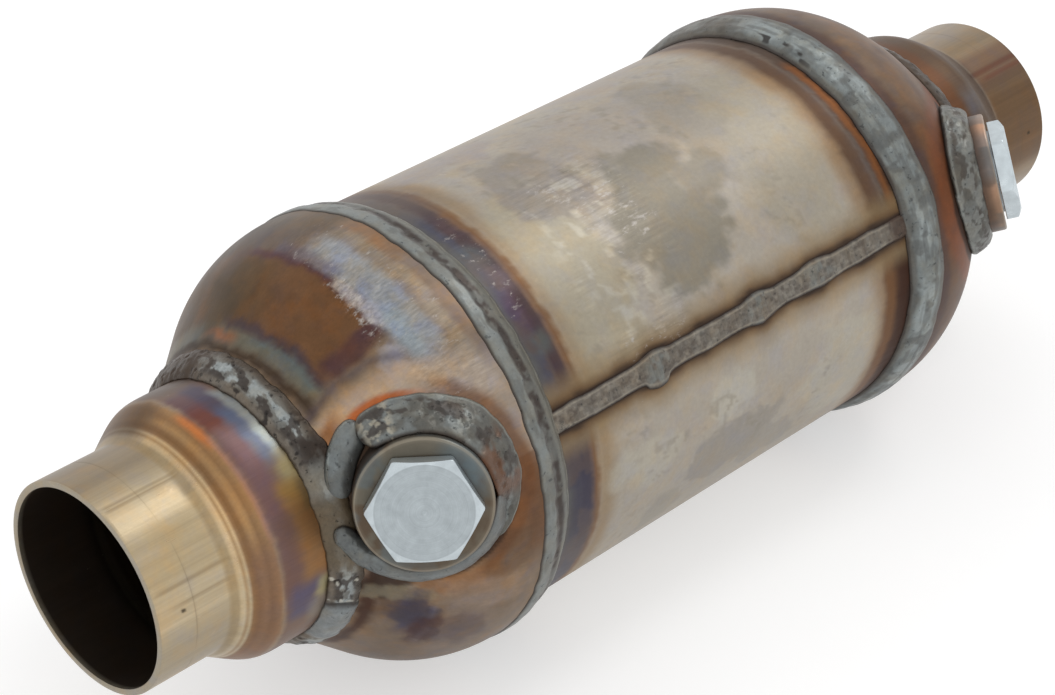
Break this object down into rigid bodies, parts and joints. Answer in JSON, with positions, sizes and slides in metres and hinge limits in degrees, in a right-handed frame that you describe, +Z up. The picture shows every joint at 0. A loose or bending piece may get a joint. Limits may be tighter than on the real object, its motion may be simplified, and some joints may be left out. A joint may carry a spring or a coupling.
{
  "type": "catalytic converter",
  "caption": "Round welded exhaust catalytic converter: rolled shell, pressed domed ends, expanded pipe necks and plugged sensor bosses, heat tinted beside its welds.",
  "frame": {"origin": "centre of the inlet pipe's open end, on the converter's axis", "axes": "+X along the axis from the inlet to the outlet, +Z up, the sensor bosses and the seam weld face -Y and a little upwards"},
  "size_m": [0.3081, 0.1118, 0.1082],
  "materials": {
    "shell_steel": "dull grey stainless sheet, cloudy",
    "dome_steel": "heat-tinted stainless, bronze to violet",
    "neck_steel": "straw-coloured stainless tube with heat tint at the weld",
    "boss_steel": "turned steel, browned by heat",
    "weld": "grey weld metal with slag spots",
    "zinc": "zinc plated, turned face",
    "ceramic": "porous honeycomb ceramic",
    "mat": "pressed mineral fibre",
    "mesh": "knitted wire"
  },
  "bodies": {
    "root": {"shell": "shell_steel", "seam_weld": "weld", "monolith": "ceramic", "support_mat": "mat", "inlet_dome": "dome_steel", "inlet_neck": "neck_steel", "inlet_boss": "boss_steel", "inlet_plug": "zinc", "inlet_neck_weld": "weld", "inlet_shell_weld": "weld", "inlet_boss_weld_upper": "weld", "inlet_boss_weld_lower": "weld", "inlet_mat_seal": "mesh", "outlet_dome": "dome_steel", "outlet_neck": "neck_steel", "outlet_boss": "boss_steel", "outlet_plug": "zinc", "outlet_neck_weld": "weld", "outlet_shell_weld": "weld", "outlet_boss_weld_upper": "weld", "outlet_boss_weld_lower": "weld", "outlet_mat_seal": "mesh"}
  },
  "joints": []
}
